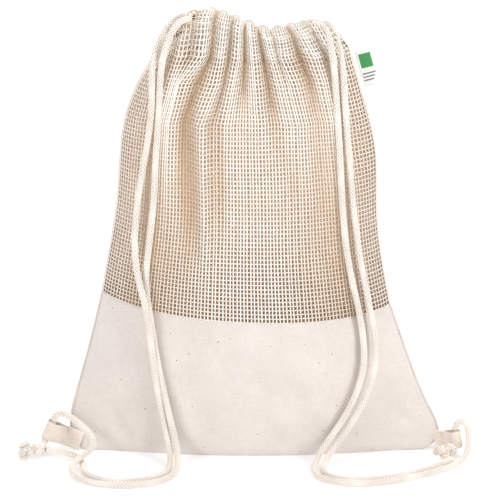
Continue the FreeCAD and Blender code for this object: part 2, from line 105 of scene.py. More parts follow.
# ---- Routes of the cords, y from the seams' plane ----
LEFT_BIGHT = [
    (-0.058, -0.0175, 0.451), (-0.049, -0.0162, 0.452), (-0.04, -0.0162, 0.4515), (-0.022, -0.0162, 0.4475),
    (0, -0.0162, 0.4395), (0.017, -0.0162, 0.434), (0.036, -0.0162, 0.4355), (0.054, -0.0162, 0.4385),
    (0.066, -0.018, 0.437), (0.075, -0.009, 0.434), (0.0755, 0.006, 0.429), (0.067, 0.0165, 0.429),
    (0.055, 0.0175, 0.431), (0.036, 0.0175, 0.429), (0.017, 0.0175, 0.4275), (0, 0.0175, 0.4325),
    (-0.022, 0.0175, 0.4405), (-0.04, 0.0175, 0.4445), (-0.049, 0.0175, 0.4445), (-0.058, 0.0175, 0.4435),
]
RIGHT_BIGHT = [
    (0.061, -0.0102, 0.4434), (0.052, -0.0102, 0.4415), (0.036, -0.0102, 0.436), (0.017, -0.0102, 0.434),
    (0, -0.0102, 0.4395), (-0.022, -0.0102, 0.4475), (-0.038, -0.0102, 0.451), (-0.05, -0.0102, 0.4505),
    (-0.061, -0.0102, 0.447), (-0.0695, -0.0075, 0.4435), (-0.072, 0.002, 0.441), (-0.066, 0.0095, 0.44),
    (-0.054, 0.0102, 0.442), (-0.04, 0.0102, 0.4445), (-0.022, 0.0102, 0.4405), (0, 0.0102, 0.4325),
    (0.017, 0.0102, 0.4275), (0.036, 0.0102, 0.429), (0.052, 0.0102, 0.4345), (0.061, 0.0102, 0.4364),
]
LEFT_OUTER = [
    (-0.06, 0.0175, 0.446), (-0.066, 0.0125, 0.4515), (-0.0725, 0.0075, 0.4505), (-0.0795, 0.001, 0.446),
    (-0.0865, -0.0085, 0.438), (-0.0925, -0.019, 0.428), (-0.096, -0.0265, 0.417),
    (-0.0972, -0.0298, 0.4), (-0.0974, -0.03, 0.37), (-0.101, -0.0315, 0.341), (-0.109, -0.0345, 0.3),
    (-0.1165, -0.038, 0.252), (-0.1155, -0.0475, 0.208), (-0.1045, -0.0555, 0.168), (-0.1, -0.057, 0.122),
    (-0.095, -0.0555, 0.08), (-0.09, -0.0535, 0.05), (-0.086, -0.053, 0.03), (-0.084, -0.0545, 0.018),
    (-0.083, -0.06, 0.0095), (-0.083, -0.069, 0.0048), (-0.0855, -0.081, 0.0036),
    (-0.0925, -0.092, 0.0036), (-0.105, -0.1, 0.0036), (-0.124, -0.1045, 0.0036),
    (-0.144, -0.103, 0.0036), (-0.159, -0.096, 0.0036), (-0.1685, -0.084, 0.0036),
    (-0.1705, -0.07, 0.0036), (-0.1725, -0.057, 0.0036), (-0.18, -0.047, 0.005),
    (-0.193, -0.0415, 0.0074), (-0.2092, -0.0385, 0.0088),
]
LEFT_INNER = [
    (-0.0585, -0.0165, 0.4545), (-0.066, -0.018, 0.4555), (-0.0735, -0.0215, 0.4505),
    (-0.0798, -0.0265, 0.44), (-0.0847, -0.0293, 0.427), (-0.0878, -0.0298, 0.411),
    (-0.0897, -0.0297, 0.39), (-0.091, -0.0305, 0.36), (-0.0945, -0.0355, 0.318),
    (-0.0965, -0.0395, 0.275), (-0.1015, -0.042, 0.235), (-0.1065, -0.044, 0.194), (-0.1005, -0.049, 0.149),
    (-0.0945, -0.0535, 0.108), (-0.0875, -0.055, 0.073), (-0.082, -0.0555, 0.046),
    (-0.078, -0.055, 0.028), (-0.076, -0.057, 0.015), (-0.075, -0.064, 0.007),
    (-0.0755, -0.0745, 0.0036), (-0.079, -0.0875, 0.0036), (-0.0875, -0.1, 0.0036),
    (-0.103, -0.1085, 0.0036), (-0.124, -0.1125, 0.0036), (-0.148, -0.111, 0.0036),
    (-0.168, -0.102, 0.0036), (-0.18, -0.088, 0.0036), (-0.1825, -0.075, 0.0055),
    (-0.176, -0.0645, 0.0105), (-0.167, -0.0565, 0.0132), (-0.161, -0.049, 0.0165),
    (-0.1625, -0.0425, 0.0235), (-0.1705, -0.036, 0.031), (-0.1815, -0.03, 0.038),
    (-0.1919, -0.026, 0.0428), (-0.1974, -0.0238, 0.0424), (-0.2019, -0.0229, 0.0391),
]
RIGHT_INNER = [
    (0.0605, -0.0102, 0.4455), (0.067, -0.0125, 0.448), (0.0722, -0.0185, 0.4445),
    (0.0753, -0.0255, 0.436), (0.0776, -0.0296, 0.424), (0.0797, -0.03, 0.408), (0.0815, -0.0295, 0.386),
    (0.0835, -0.031, 0.358), (0.086, -0.036, 0.325), (0.088, -0.04, 0.285), (0.0915, -0.041, 0.24),
    (0.098, -0.042, 0.2), (0.1065, -0.041, 0.165), (0.1125, -0.042, 0.13), (0.1135, -0.0455, 0.104),
    (0.107, -0.05, 0.079), (0.096, -0.0535, 0.055), (0.0845, -0.054, 0.036), (0.075, -0.0545, 0.022),
    (0.068, -0.058, 0.0115), (0.0635, -0.0665, 0.005), (0.0615, -0.078, 0.0036),
    (0.065, -0.0905, 0.0036), (0.076, -0.101, 0.0036), (0.092, -0.1075, 0.0036),
    (0.113, -0.1085, 0.0036), (0.137, -0.103, 0.0036), (0.163, -0.093, 0.0036), (0.187, -0.079, 0.0036),
    (0.2065, -0.0665, 0.004), (0.217, -0.054, 0.007), (0.221, -0.0445, 0.014), (0.2216, -0.0375, 0.024),
    (0.2203, -0.0345, 0.033), (0.216, -0.0323, 0.037), (0.2102, -0.031, 0.0368),
]
RIGHT_OUTER = [
    (0.062, 0.0102, 0.4385), (0.0685, 0.009, 0.444), (0.0745, 0.003, 0.4455), (0.0797, -0.0055, 0.4405),
    (0.0837, -0.0145, 0.431), (0.0866, -0.0228, 0.418), (0.0887, -0.0285, 0.401),
    (0.0903, -0.0295, 0.378), (0.0925, -0.031, 0.35), (0.0955, -0.035, 0.314), (0.0995, -0.0365, 0.272),
    (0.105, -0.037, 0.23), (0.112, -0.0375, 0.19), (0.12, -0.037, 0.154), (0.1245, -0.04, 0.125),
    (0.1235, -0.045, 0.099), (0.1165, -0.05, 0.075), (0.1055, -0.0535, 0.053), (0.0945, -0.054, 0.035),
    (0.0845, -0.0545, 0.0205), (0.0775, -0.059, 0.0105), (0.073, -0.0675, 0.0048),
    (0.071, -0.0785, 0.0036), (0.075, -0.089, 0.0036), (0.0855, -0.0965, 0.0036),
    (0.101, -0.1005, 0.0036), (0.121, -0.099, 0.0036), (0.144, -0.092, 0.0036), (0.167, -0.0815, 0.0036),
    (0.1865, -0.07, 0.004), (0.203, -0.0575, 0.0064),
]

TABS = {
    "left": {"root": (-0.1795, -0.0215, 0.0116), "yaw": 183.0, "tilt": 22.0, "reach": 0.036,
             "width": 0.021, "plain": 0.018, "turn": 0.016, "knot": (-0.2182, -0.0385, 0.0088),
             "tail": (-0.2275, -0.0418, 0.0086)},
    "right": {"root": (0.1915, -0.021, 0.013), "yaw": -33.0, "tilt": 12.0, "reach": 0.027,
              "width": 0.018, "plain": 0.010, "turn": 0.0134, "knot": (0.1975, -0.0455, 0.0088),
              "tail": (0.1885, -0.0500, 0.0118)},
}
TAB_HOLE = 4.6 * MM
TAB_THICK = 1.2 * MM
LABEL_TOP = Vector((0.0998, 0.0, 0.4175))
LABEL_FOOT = Vector((0.110, 0.0, 0.3815))
LABEL_WIDTH = 17.4 * MM

# ---- Materials ----


class Shader:
    """A node material under construction."""

    def __init__(self, name, roughness=0.9, sheen=0.25):
        self.material = bpy.data.materials.new(name)
        self.material.use_nodes = True
        self.tree = self.material.node_tree
        self.surface = self.tree.nodes["Principled BSDF"]
        self.surface.inputs["Roughness"].default_value = roughness
        self.surface.inputs["Sheen Weight"].default_value = sheen
        self.surface.inputs["Sheen Roughness"].default_value = 0.6
        self.surface.inputs["Specular IOR Level"].default_value = 0.25

    def node(self, kind, **values):
        """A node; values are its properties, or its inputs where the name is an input's."""
        made = self.tree.nodes.new(kind)
        for key, value in values.items():
            if key in made.inputs:
                made.inputs[key].default_value = value
            else:
                setattr(made, key, value)
        return made

    def link(self, source, target):
        self.tree.links.new(source, target)

    def where(self, kind="Object", scale=(1, 1, 1)):
        """Coordinates, stretched by a scale."""
        place = self.node("ShaderNodeTexCoord")
        mapping = self.node("ShaderNodeMapping", Scale=scale)
        self.link(place.outputs[kind], mapping.inputs["Vector"])
        return mapping.outputs["Vector"]

    def noise(self, where, scale, detail=3.0):
        made = self.node("ShaderNodeTexNoise", Scale=scale, Detail=detail, Roughness=0.6)
        self.link(where, made.inputs["Vector"])
        return made.outputs["Fac"]

    def math(self, operation, a, b):
        made = self.node("ShaderNodeMath", operation=operation)
        for socket, value in zip(made.inputs, (a, b)):
            if isinstance(value, (int, float)):
                socket.default_value = value
            else:
                self.link(value, socket)
        return made.outputs[0]

    def ramp(self, value, stops):
        made = self.node("ShaderNodeValToRGB")
        elements = made.color_ramp.elements
        while len(elements) < len(stops):
            elements.new(0.5)
        for element, (place, colour) in zip(elements, stops):
            element.position = place
            element.color = (*colour, 1)
        self.link(value, made.inputs["Fac"])
        return made.outputs["Color"]

    def mix(self, share, a, b):
        """Colour a, and colour b by the share."""
        made = self.node("ShaderNodeMix", data_type="RGBA")
        for name, value in (("A", a), ("B", b)):
            socket = [s for s in made.inputs if s.name == name and s.type == "RGBA"][0]
            if isinstance(value, tuple):
                socket.default_value = (*value, 1)
            else:
                self.link(value, socket)
        self.link(share, made.inputs[0])
        return [s for s in made.outputs if s.type == "RGBA"][0]

    def finish(self, colour, height=None, depth=0.0002):
        self.link(colour, self.surface.inputs["Base Color"])
        if height is not None:
            bump = self.node("ShaderNodeBump", Distance=depth, Strength=0.8)
            self.link(height, bump.inputs["Height"])
            self.link(bump.outputs["Normal"], self.surface.inputs["Normal"])
        return self.material


def canvas_material(name, light, dark, flecks=True):
    """Plain-woven cotton with uneven threads and seed flecks. UV is the flat cloth in metres."""
    s = Shader(name)
    thread = 0.72 * MM
    wave_scale = 2 * math.pi / 20 / thread
    flat = s.where("UV")
    waves = []
    for direction in ("X", "Y"):
        wave = s.node("ShaderNodeTexWave", bands_direction=direction, Scale=wave_scale, Distortion=1.5)
        wave.inputs["Detail"].default_value = 2.0
        wave.inputs["Detail Scale"].default_value = 0.4
        s.link(flat, wave.inputs["Vector"])
        waves.append(wave.outputs["Fac"])
    slub_x = s.noise(s.where("UV", (1, 14, 1)), 70)
    slub_y = s.noise(s.where("UV", (14, 1, 1)), 70)
    slubs = s.math("ADD", slub_x, slub_y)
    cloud = s.noise(flat, 18)
    tone = s.math("MULTIPLY", s.math("ADD", slubs, cloud), 0.34)
    colour = s.ramp(tone, [(0.36, dark), (0.62, light)])
    if flecks:
        cells = s.node("ShaderNodeTexVoronoi", Scale=105.0)
        s.link(flat, cells.inputs["Vector"])
        near = s.math("LESS_THAN", cells.outputs["Distance"], 0.075)
        chosen = s.math("GREATER_THAN", s.noise(flat, 61), 0.54)
        colour = s.mix(s.math("MULTIPLY", near, chosen), colour, (0.30, 0.22, 0.14))
    weave = s.math("ADD", s.math("MULTIPLY", waves[0], waves[1]), s.math("MULTIPLY", slubs, 0.7))
    return s.finish(colour, weave, 0.22 * MM)


def yarn_material(name, light, dark, twist_scale=1500, shaded=None):
    """Spun cotton: fine fibre fuzz and slightly uneven colour; a shaded colour, where given, is mixed in by
    the 'hollow' attribute, painted shade in the hollows of its folds.
    """
    s = Shader(name, sheen=0.35)
    place = s.where()
    fuzz = s.noise(place, twist_scale, 4)
    cloud = s.noise(place, 60)
    tone = s.math("ADD", s.math("MULTIPLY", fuzz, 0.5), s.math("MULTIPLY", cloud, 0.5))
    colour = s.ramp(tone, [(0.36, dark), (0.60, light)])
    if shaded:
        hollow = s.node("ShaderNodeAttribute")
        hollow.attribute_name = "hollow"
        colour = s.mix(hollow.outputs["Fac"], colour, shaded)
    return s.finish(colour, fuzz, 0.15 * MM)


def label_material():
    """White satin tape with a plain green block and grey bars. UV runs across and down it."""
    s = Shader("label_tape", roughness=0.55, sheen=0.1)
    split = s.node("ShaderNodeSeparateXYZ")
    s.link(s.where("UV"), split.inputs[0])
    across, down = split.outputs[0], split.outputs[1]

    def inside(value, low, high):
        return s.math("MULTIPLY", s.math("GREATER_THAN", value, low), s.math("LESS_THAN", value, high))

    def block(x_low, x_high, y_low, y_high):
        return s.math("MULTIPLY", inside(across, x_low, x_high), inside(down, y_low, y_high))

    fine = s.noise(s.where("UV", (90, 400, 1)), 2.0, 2)
    colour = s.ramp(fine, [(0.3, (0.74, 0.75, 0.74)), (0.7, (0.88, 0.88, 0.87))])
    colour = s.mix(block(0.16, 0.84, 0.09, 0.48), colour, (0.06, 0.30, 0.09))
    for k in range(3):
        low = 0.62 + 0.09 * k
        colour = s.mix(block(0.12, 0.88 - 0.1 * k, low, low + 0.035), colour, (0.16, 0.17, 0.17))
    return s.finish(colour, fine, 0.08 * MM)


ECRU_LIGHT, ECRU_DARK = (0.82, 0.75, 0.70), (0.69, 0.62, 0.57)
CREAM_LIGHT, CREAM_DARK = (0.99, 0.95, 0.89), (0.90, 0.84, 0.76)
CANVAS = canvas_material("ecru_canvas", ECRU_LIGHT, ECRU_DARK)
BACK_CANVAS = canvas_material("back_canvas", ECRU_LIGHT, ECRU_DARK)
# Inside of the back canvas: a darker tan that stands in for the shade inside the sack, painted shade.
SHADED = canvas_material("canvas_inside_painted_shade", (0.80, 0.60, 0.43), (0.62, 0.44, 0.30), flecks=False)
TAB_CANVAS = canvas_material("tab_canvas", (0.90, 0.80, 0.715), (0.76, 0.665, 0.58), flecks=False)
# The net's yarns: a warm tan mixed in behind the pleats' ridges, painted shade.
NET = yarn_material("net_yarn", CREAM_LIGHT, CREAM_DARK, shaded=(0.78, 0.60, 0.43))
# The braid: darker where its strands dip under, painted shade; its inner tube's material is painted shade
# for the braid's inside.
BRAID = yarn_material("braided_cotton", (0.95, 0.885, 0.82), (0.86, 0.78, 0.70), 1100, (0.28, 0.21, 0.16))
BRAID_INSIDE_SHADE = yarn_material("braid_inside_painted_shade", (0.42, 0.33, 0.25), (0.34, 0.26, 0.19))
FRAYED = yarn_material("frayed_cotton", (0.97, 0.91, 0.84), (0.90, 0.82, 0.73))
THREAD = yarn_material("sewing_thread", (0.90, 0.83, 0.74), (0.74, 0.66, 0.57), 2500)
LABEL = label_material()

# ---- Meshes ----


def mesh_object(name, points, faces, material, uv=None):
    """A smooth mesh in the row frame; the points' y is measured from the seams' plane."""
    points = np.asarray(points, float).reshape(-1, 3) + (0, SEAM_PLANE, 0)
    faces = np.asarray(faces, int).reshape(-1, np.shape(faces)[-1])
    mesh = bpy.data.meshes.new(name)
    mesh.vertices.add(len(points))
    mesh.vertices.foreach_set("co", points.ravel())
    mesh.loops.add(faces.size)
    mesh.loops.foreach_set("vertex_index", faces.ravel())
    mesh.polygons.add(len(faces))
    mesh.polygons.foreach_set("loop_start", np.arange(0, faces.size, faces.shape[1]))
    mesh.update(calc_edges=True)
    mesh.validate()
    if uv is not None:
        layer = mesh.uv_layers.new(name="flat")
        layer.data.foreach_set("uv", np.asarray(uv, float).reshape(-1, 2)[faces.ravel()].ravel())
    mesh.shade_smooth()
    mesh.materials.append(material)
    made = bpy.data.objects.new(name, mesh)
    bpy.context.scene.collection.objects.link(made)
    return made


def grid_faces(rows, columns, closed=False):
    """Quads of a grid of points; closed joins the last column to the first."""
    i, j = np.meshgrid(np.arange(rows - 1), np.arange(columns if closed else columns - 1), indexing="ij")
    next_j = (j + 1) % columns
    quads = np.stack([i * columns + j, i * columns + next_j, (i + 1) * columns + next_j,
                      (i + 1) * columns + j], -1)
    return quads.reshape(-1, 4)


def unit(vectors):
    """The vectors at length 1."""
    return vectors / np.maximum(np.linalg.norm(vectors, axis=-1, keepdims=True), 1e-12)


def tubes(paths, outward, wide, thick, sides=4):
    """Points and quads of flattened tubes, four sides or more, along paths: an array (paths, points, 3).
    outward is where their thin side faces, once or for each point."""
    paths = np.asarray(paths, float)
    outward = np.broadcast_to(outward, paths.shape)
    count, long = paths.shape[:2]
    along = unit(np.gradient(paths, axis=1))
    across = unit(np.cross(along, outward))
    up = np.cross(across, along)
    rings = []
    for k in range(sides):
        angle = 2 * math.pi * k / sides
        ring = paths + across * (wide / 2 * math.cos(angle)) + up * (thick / 2 * math.sin(angle))
        rings.append(ring)
    points = np.stack(rings, 2)
    one = grid_faces(long, sides, closed=True)
    faces = (one[None] + (np.arange(count) * long * sides)[:, None, None]).reshape(-1, 4)
    caps = []
    for row in (0, long - 1):
        ring = np.arange(4) * (sides // 4) + row * sides
        caps.append(ring[None] + (np.arange(count) * long * sides)[:, None])
    return points.reshape(-1, 3), np.concatenate([faces, np.concatenate(caps).reshape(-1, 4)])


class Bundle:
    """Collects points and quads of one piece."""

    def __init__(self):
        self.points, self.faces, self.slots, self.shades, self.count = [], [], [], [], 0

    def add(self, points, faces, slot=0, shade=None):
        points = np.asarray(points, float).reshape(-1, 3)
        self.points.append(points)
        self.faces.append(np.asarray(faces) + self.count)
        self.slots.append(np.full(len(faces), slot))
        self.shades.append(np.zeros(len(points)) if shade is None else shade)
        self.count += len(points)

    def make(self, name, material, *others):
        made = mesh_object(name, np.concatenate(self.points), np.concatenate(self.faces), material)
        for other in others:
            made.data.materials.append(other)
        made.data.polygons.foreach_set("material_index", np.concatenate(self.slots).astype(np.int32))
        # the 'hollow' attribute: how much painted shade each point gets
        shade = made.data.attributes.new("hollow", "FLOAT", "POINT")
        shade.data.foreach_set("value", np.concatenate(self.shades).astype(np.float32))
        return made


def runs_along(line, counts=1):
    """Each point's distance from the start along the line."""
    return np.concatenate([[0], np.cumsum(np.linalg.norm(np.diff(line, axis=0) * counts, axis=1))])


def read_at(line, runs, wanted):
    """Points of the line at wanted distances, from each of its points' distance."""
    return np.stack([np.interp(wanted, runs, column) for column in line.T], 1)


def resampled(line, step):
    """The line with points about a step apart."""
    line = np.asarray(line, float)
    runs = runs_along(line)
    wanted = np.linspace(0, runs[-1], max(3, round(runs[-1] / step)))
    return read_at(line, runs, wanted)


def carried_frames(line):
    """Two directions across the line, carried along it without twisting."""
    along = unit(np.gradient(line, axis=0))
    first = np.zeros_like(line)
    side = np.cross(along[0], (0.3, 0.2, 0.93))
    for k, direction in enumerate(along):
        side = side - direction * side.dot(direction)
        side = side / np.linalg.norm(side)
        first[k] = side
    return first, np.cross(along, first)


def smooth_line(points):
    """Points read from the smooth NURBS curve that has the route's points as its control points."""
    curve = bpy.data.curves.new("route", "CURVE")
    curve.dimensions = "3D"
    spline = curve.splines.new("NURBS")
    spline.points.add(len(points) - 1)
    for target, point in zip(spline.points, points):
        target.co = (*point, 1)
    spline.order_u = 3
    spline.use_endpoint_u = True
    spline.resolution_u = 12
    holder = bpy.data.objects.new("route", curve)
    bpy.context.scene.collection.objects.link(holder)
    bpy.context.view_layer.update()
    mesh = bpy.data.meshes.new_from_object(holder.evaluated_get(bpy.context.evaluated_depsgraph_get()))
    line = np.array([v.co for v in mesh.vertices])
    bpy.data.objects.remove(holder)
    bpy.data.curves.remove(curve)
    bpy.data.meshes.remove(mesh)
    return line


BRAID_STRANDS = 6       # each way round
BRAID_PITCH = 22 * MM   # length of one turn
BRAID_STEP = 0.9 * MM
STRAND_WIDE = 1.75 * MM
STRAND_THICK = 1.25 * MM
STRAND_INSET = 1.12 * MM   # from the braid's surface to the middle of its strands' weave
STRAND_RIPPLE = 0.5 * MM   # how far a strand goes over and under that
SHADE_TUBE_INSET = 0.25 * MM     # of the dark tube of painted shade inside the braid, from the middle of the weave
SHADE_TUBE_SIDES = 8


def braid(line, diameter=CORD, bundle=None):
    """A round braid along the line: strands that wind both ways and pass over and under each other, and
    the dark tube behind them, painted shade for the braid's inside; where the strands dip under they get
    painted shade too."""
    line = resampled(line, BRAID_STEP)
    first, second = carried_frames(line)
    length = runs_along(line)
    radius = diameter / 2 - STRAND_INSET
    ripple = STRAND_RIPPLE * np.cos(2 * math.pi * length * BRAID_STRANDS / BRAID_PITCH)
    paths, outward = [], []
    for way in (1, -1):
        for k in range(BRAID_STRANDS):
            angle = 2 * math.pi * (k / BRAID_STRANDS + way * length / BRAID_PITCH)
            spoke = first * np.cos(angle)[:, None] + second * np.sin(angle)[:, None]
            paths.append(line + spoke * (radius + way * ripple)[:, None])
            outward.append(spoke)
    bundle = bundle or Bundle()
    # how deep each strand dips under, given as painted shade
    dip_shade = np.concatenate([np.tile(np.clip(-way * ripple / (0.8 * STRAND_RIPPLE), 0, 1), BRAID_STRANDS)
                           for way in (1, -1)])
    bundle.add(*tubes(paths, np.array(outward), STRAND_WIDE, STRAND_THICK, 6), shade=np.repeat(dip_shade, 6))
    shade_tube = np.stack([line + (first * math.cos(a) + second * math.sin(a)) * (radius - SHADE_TUBE_INSET)
                     for a in np.arange(SHADE_TUBE_SIDES) * 2 * math.pi / SHADE_TUBE_SIDES], 1)
    bundle.add(shade_tube, grid_faces(len(line), SHADE_TUBE_SIDES, closed=True), 1)
    return bundle


# ---- The cloth's shape ----


def spline_weights(count, share):
    """Weights of a clamped even spline's control points, for each share from 0 to 1."""
    degree = min(3, count - 1)
    spans = count - degree
    knots = np.concatenate([np.zeros(degree), np.arange(spans + 1), np.full(degree, spans)])
    x = np.clip(np.atleast_1d(share) * spans, 0, spans - 1e-9)[:, None]
    weights = ((x >= knots[:-1]) & (x < knots[1:])).astype(float)
    for d in range(1, degree + 1):
        rise = knots[d:-1] - knots[:-d - 1]
        fall = knots[d + 1:] - knots[1:-d]
        up = np.where(rise > 0, (x - knots[:-d - 1]) / np.maximum(rise, 1e-9), 0)
        down = np.where(fall > 0, (knots[d + 1:] - x) / np.maximum(fall, 1e-9), 0)
        weights = up * weights[:, :-1] + down * weights[:, 1:]
    return weights


def ease(value, low, high):
    """0 below low, 1 above high, smooth between them."""
    share = np.clip((np.asarray(value, float) - low) / (high - low), 0, 1)
    return share * share * (3 - 2 * share)


def stations(levels, step):
    """Level values at even steps of height along the middle of the front."""
    fine = spline_weights(len(levels), np.linspace(0, 1, 400)) @ (np.array(levels) * MM)
    middle = np.stack([(fine[:, 0] + fine[:, 1]) / 2 - fine[:, 2], fine[:, 5]], 1)
    runs = runs_along(middle)
    return read_at(fine, runs, np.linspace(0, runs[-1], max(2, round(runs[-1] / step) + 1)))


ACROSS = np.sin(np.linspace(-math.pi / 2, math.pi / 2, 1601))   # shares across a row, -1 to 1
FLAT_EDGE = 1 - np.abs(ACROSS) ** 10                            # 1 on the cloth, 0 at the side seams
ROUND = np.maximum(1 - np.abs(ACROSS) ** 2.4, 1e-6)             # how far a row is from the seams' plane
FULLEST = 0.985                                                 # of a level's depth, without the cloth


def pleats(side, x, z, left, right):
    """How deep the cloth lies below its ridges, as a share, its sideways shift, and the ridges' places."""
    ridges, valleys = (FRONT_RIDGES, FRONT_VALLEYS) if side < 0 else (BACK_RIDGES, BACK_VALLEYS)
    heights = np.array(RIDGE_HEIGHTS) * MM
    edges = [np.full_like(x, left)]
    edges += [np.interp(z, heights, np.array(row) * MM) for row in ridges]
    edges = np.array(edges + [np.full_like(x, right)])
    k = np.clip((x >= edges).sum(0) - 1, 0, len(valleys) - 1)
    here = np.arange(len(x))
    width = np.maximum(edges[k + 1, here] - edges[k, here], 1 * MM)
    phase = np.clip((x - edges[k, here]) / width, 0, 1)
    strength, foot = np.array(valleys)[k].T
    amount = strength * ease(z, foot * MM, PLEATS_FULL) ** 1.25
    depth = amount * (0.5 - 0.5 * np.cos(2 * math.pi * phase))
    shift = 0.75 * width / (2 * math.pi) * np.sin(2 * math.pi * phase) * amount
    return depth, shift, (x < edges[1:-1]).sum(1)


def even(line, count, marks, shares, weight):
    """Points at even distances along the cloth or, by the weight, with a fixed share of it between the
    ridges."""
    runs = runs_along(line, DEPTH_COUNTS)
    steps = np.linspace(0, 1, count)
    wanted = steps * runs[-1]
    if weight > 0:
        held = np.interp(steps, np.concatenate([[0], shares, [1]]),
                         np.concatenate([[0], runs[marks], [runs[-1]]]))
        wanted = wanted * (1 - weight) + held * weight
    return read_at(line, runs, wanted)


def dense_row(level, side, hollows=None):
    """One level row of cloth, with its pleats and the places of its ridges."""
    z_left, z_right, hang, left, right, front, back, pull = level
    u = ACROSS
    depth = front if side < 0 else back
    z = z_left + (z_right - z_left) * (u + 1) / 2 - hang * (1 - u * u)
    fullness = 0.625 * ease(z, 300 * MM, 415 * MM)
    swell = ROUND ** (0.8 * (1 - fullness))
    x = (left + right) / 2 + (right - left) / 2 * u
    y = RIM + (FULLEST * depth - RIM) * swell
    hollow, shift, marks = pleats(side, x, z, left, right)
    y += FLAT_EDGE * (PLEAT_PROUD * ease(z, 330 * MM, PLEATS_FULL) - PLEAT_DEPTH * hollow)
    if hollows is not None:
        y -= hollows(x, z)
    return np.stack([x + shift * FLAT_EDGE, side * y + pull * np.abs(u) ** 6, z], 1), marks


def ridge_shares(side):
    """Each ridge's share of the cloth's width, from where the pleats begin."""
    line, marks = dense_row(np.array(NET_LEVELS[1]) * MM, side)
    runs = runs_along(line, DEPTH_COUNTS)
    return runs[marks] / runs[-1]


RIDGE_SHARES = {side: ridge_shares(side) for side in (-1, 1)}


def wall_row(level, side, count, hollows=None):
    """One level row of a wall, with count points spread over its cloth."""
    line, marks = dense_row(level, side, hollows)
    return even(line, count, marks, RIDGE_SHARES[side], float(ease(level[0], 215 * MM, 340 * MM)))


def top_height(x, side):
    """Height of the top edge over each x."""
    places, heights = np.array(TOP_EDGE).T * MM
    smooth = np.interp(x, places, heights)
    for offset in (-5 * MM, 5 * MM):
        smooth = smooth + np.interp(x + offset, places, heights)
    return smooth / 3 - (BACK_DROP if side > 0 else 0)


SEWN_GAP = 1.6 * MM    # between the channel's layers at its foot
MOUTH_GAP = 5.6 * MM   # from the channel's inner layer to the seams' plane
EDGE_ROLL = 5.5 * MM   # radius of the top edge
SHOULDER = 0.86        # share of the channel's height where the roll begins
INNER_FOOT = 0.09      # share of its height where the inner layer ends


def channel_row(side, count, height, turn):
    """One row of the cords' channel. height is its share from the foot to the top edge; turn goes from 0,
    the outer layer, over the top edge to 1, the inner layer."""
    level = NET_LEVELS[-1]
    left = level[3] * MM + (TOP_EDGE[0][0] - level[3]) * MM * height ** 1.3
    right = level[4] * MM + (TOP_EDGE[-1][0] - level[4]) * MM * height ** 2
    x = (left + right) / 2 + (right - left) / 2 * ACROSS
    top = top_height(x, side)
    z = CHANNEL_FOOT + (top - CHANNEL_FOOT) * height
    hollow, shift, marks = pleats(side, x, z, left, right)
    outer = RIM + (FULLEST * level[5] * MM - RIM) * ROUND ** 0.3
    outer += FLAT_EDGE * (PLEAT_PROUD - PLEAT_DEPTH * hollow)
    opened = ease(height, 0.05, 0.6)
    inner = (outer - SEWN_GAP) * (1 - opened) + (MOUTH_GAP + 2.4 * MM * (1 - hollow)) * opened
    angle = math.pi * turn
    y = (outer + inner) / 2 + (outer - inner) / 2 * math.cos(angle)
    bump = 1.3 * MM * (1 - 2 * hollow)
    if 0 < turn < 1:
        z = top - EDGE_ROLL + EDGE_ROLL * math.sin(angle) + bump * math.sin(angle)
    else:
        z = np.minimum(z, top - EDGE_ROLL * (1 - 0.02 * height))
    narrow = 1 - 0.17 * turn * opened
    x = x * narrow + shift * FLAT_EDGE * (1 - 0.45 * turn)
    return even(np.stack([x, side * y, z], 1), count, marks, RIDGE_SHARES[side], 1)


def channel_rows(side, count, step):
    """Rows of the channel, up its outer layer, over the top edge and down inside."""
    rise = round(34 * MM / step)
    over = max(3, round(24 * MM / step))
    rows = [channel_row(side, count, (k / rise) * SHOULDER, 0) for k in range(rise + 1)]
    for k in range(1, over + 1):
        turn = k / (over + 1)
        rows.append(channel_row(side, count, SHOULDER + (1 - SHOULDER) * math.sin(math.pi * turn), turn))
    rows += [channel_row(side, count, SHOULDER - (SHOULDER - INNER_FOOT) * (k / rise), 1)
             for k in range(rise + 1)]
    return np.array(rows)


def crease(x, z, start, end, width, depth):
    """A soft fold between two places (x, z): how far in the cloth goes there."""
    a, b = np.array(start) * MM, np.array(end) * MM
    way = b - a
    place = np.stack([x, z], -1) - a
    share = np.clip(place @ way / way.dot(way), 0, 1)
    away = np.linalg.norm(place - share[:, None] * way, axis=-1)
    return depth * MM * np.exp(-(away / (width * MM)) ** 2) * np.sin(math.pi * np.clip(share, 0.02, 0.98))


# Folds: from and to (x, z), how wide and how deep, in millimetres.
FRONT_FOLDS = [
    ((78, 140), (20, 40), 13, 2.6), ((60, 60), (10, 28), 9, -1.8), ((36, 120), (88, 30), 11, -1.8),
    ((-70, 130), (-52, 20), 9, 1.6), ((-40, 142), (-20, 70), 12, 1.4), ((5, 138), (-6, 60), 10, -1.3),
    ((112, 110), (150, 40), 14, 1.6), ((-150, 60), (-120, 8), 7, 3.2), ((-132, 40), (-104, 4), 6, -1.6),
    ((140, 46), (176, 26), 6, 2.4), ((120, 20), (170, 34), 7, -1.6),
]
NET_FOLDS = [
    ((-50, 395), (-46, 190), 5, -6.0), ((-66, 400), (-62, 230), 9, 4.0), ((-34, 380), (-30, 230), 7, 3.0),
    ((30, 370), (44, 260), 9, 2.5), ((60, 360), (70, 250), 9, 2.5), ((-104, 330), (-112, 220), 8, 2.5),
]
BACK_FOLDS = [
    ((-120, 120), (-60, 20), 14, 2.2), ((90, 130), (40, 26), 15, 2.0), ((-20, 150), (10, 50), 13, -1.6),
    ((140, 60), (90, 10), 9, 1.8), ((-60, 210), (-70, 120), 12, 1.8), ((50, 240), (60, 140), 14, 1.6),
]


def folds(table):
    """How far in the cloth goes for all of a table's folds together."""
    def hollows(x, z):
        return sum(crease(x, z, *row) for row in table)
    return hollows


def outward_of(grid):
    """Unit normals of a grid of points, away from the middle of the sack."""
    across = np.gradient(grid, axis=1)
    up = np.gradient(grid, axis=0)
    return unit(np.cross(across, up))


